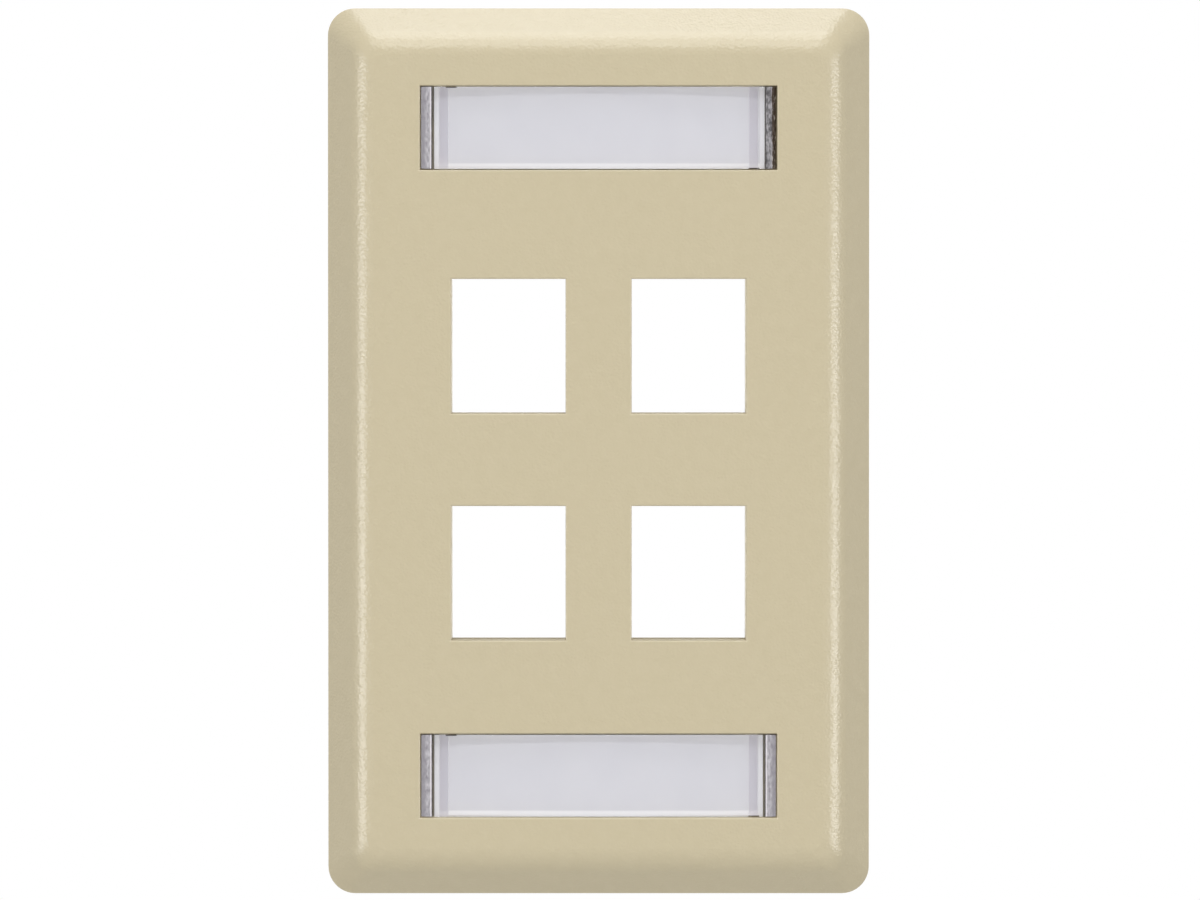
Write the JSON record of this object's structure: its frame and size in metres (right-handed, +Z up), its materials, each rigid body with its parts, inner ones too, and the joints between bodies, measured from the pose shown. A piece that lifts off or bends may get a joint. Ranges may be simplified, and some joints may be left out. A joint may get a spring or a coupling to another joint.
{
  "type": "keystone faceplate",
  "caption": "Single-gang wall faceplate with open keystone ports for jacks and snap-in clear label windows over its fixing screws.",
  "frame": {"origin": "centre of the plate on the wall plane, midway between the two fixing screws", "axes": "+Y into the wall, away from the front face; +Z up along the plate's long side; +X to the viewer's right"},
  "size_m": [0.0698, 0.0224, 0.1142],
  "materials": {
    "ivory_plastic": "moulded ivory plastic with a fine spark-eroded texture and a soft sheen",
    "clear_plastic": "clear moulded plastic, frosted at its ends",
    "label_card": "smooth white card, blank",
    "screw_paint": "ivory enamel over plated steel"
  },
  "bodies": {
    "plate": {"faceplate": "ivory_plastic", "upper_mounting_screw": "screw_paint", "lower_mounting_screw": "screw_paint"},
    "upper_window": {"upper_label_window": "clear_plastic", "upper_label_insert": "label_card"},
    "lower_window": {"lower_label_window": "clear_plastic", "lower_label_insert": "label_card"}
  },
  "joints": [
    {"name": "upper_window_pull", "type": "slide", "parent": "plate", "child": "upper_window", "axis": [0, -1, 0], "range_m": [0, 0.015]},
    {"name": "lower_window_pull", "type": "slide", "parent": "plate", "child": "lower_window", "axis": [0, -1, 0], "range_m": [0, 0.015]}
  ]
}
